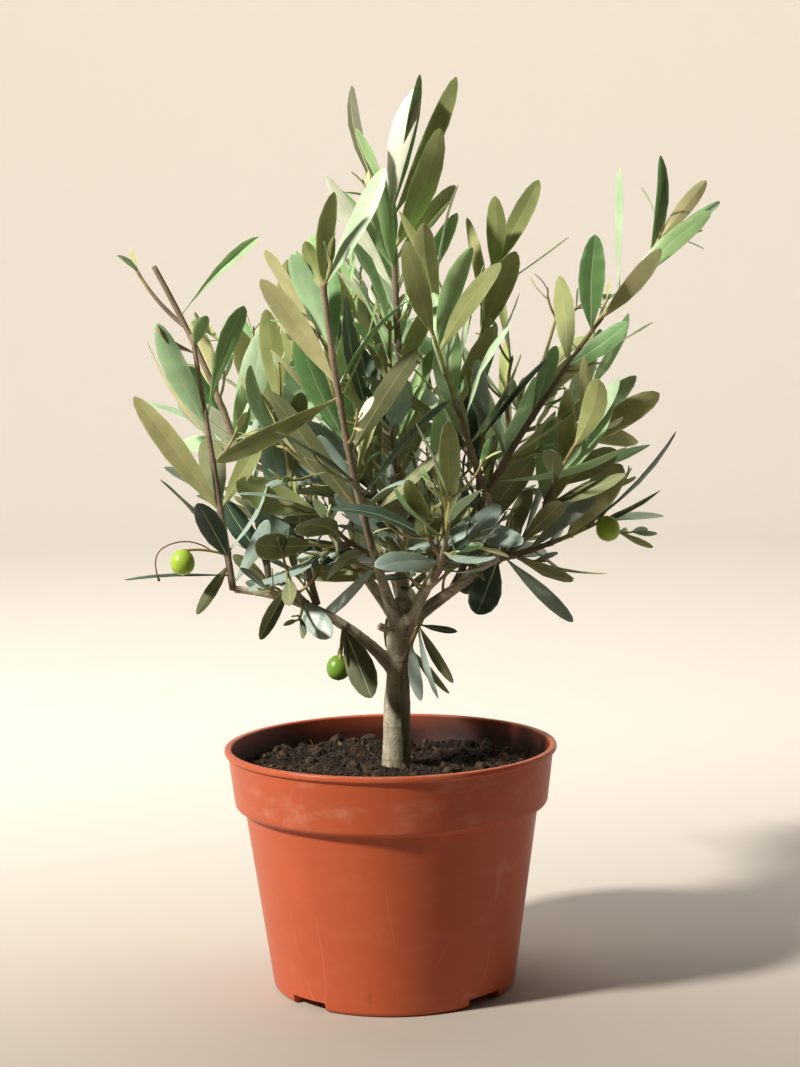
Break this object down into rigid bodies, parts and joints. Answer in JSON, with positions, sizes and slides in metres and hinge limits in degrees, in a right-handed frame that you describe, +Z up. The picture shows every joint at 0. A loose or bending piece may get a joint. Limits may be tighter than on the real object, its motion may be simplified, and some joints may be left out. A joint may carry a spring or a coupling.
{
  "type": "potted olive tree",
  "caption": "Young olive tree in a round terracotta-coloured plastic nursery pot, with a forked trunk, leafy shoots and a few green olives.",
  "frame": {"origin": "middle of the pot's flat underside, on the surface the pot stands on", "axes": "+Z up along the pot's axis, +Y away from the front view, +X to the right seen from the front"},
  "size_m": [0.3406, 0.2706, 0.5144],
  "materials": {
    "pot": "injection-moulded plastic, terracotta colour, faintly scuffed and dusty",
    "compost": "moist dark peat crumbs",
    "bark": "grey-brown young bark with lenticels",
    "foliage": "semi-gloss green above, matt silvery olive below"
  },
  "bodies": {
    "root": {"pot": "pot", "compost": "compost", "trunk": "bark", "bough_low_west": "bark", "bough_front_west": "bark", "bough_leader": "bark", "bough_east": "bark", "bough_east_riser": "bark", "bough_back_west": "bark", "bough_back_east": "bark", "bough_front": "bark", "foliage_west_outer": "foliage", "foliage_west_inner": "foliage", "foliage_front_west": "foliage", "foliage_leader_top": "foliage", "foliage_east_front": "foliage", "foliage_east_sweep": "foliage", "foliage_low_east": "foliage", "foliage_far_east": "foliage", "foliage_north_east": "foliage", "foliage_centre_west": "foliage", "foliage_centre_front": "foliage", "foliage_mid_west": "foliage", "foliage_mid_east": "foliage", "foliage_core_west": "foliage", "foliage_core_east": "foliage", "foliage_core_front": "foliage", "foliage_back_west": "foliage", "foliage_back_centre": "foliage", "foliage_back_east": "foliage", "foliage_back_low": "foliage", "foliage_front_low": "foliage", "foliage_low_west": "foliage", "foliage_low_hanging": "foliage", "foliage_trunk_spray": "foliage"}
  },
  "joints": []
}
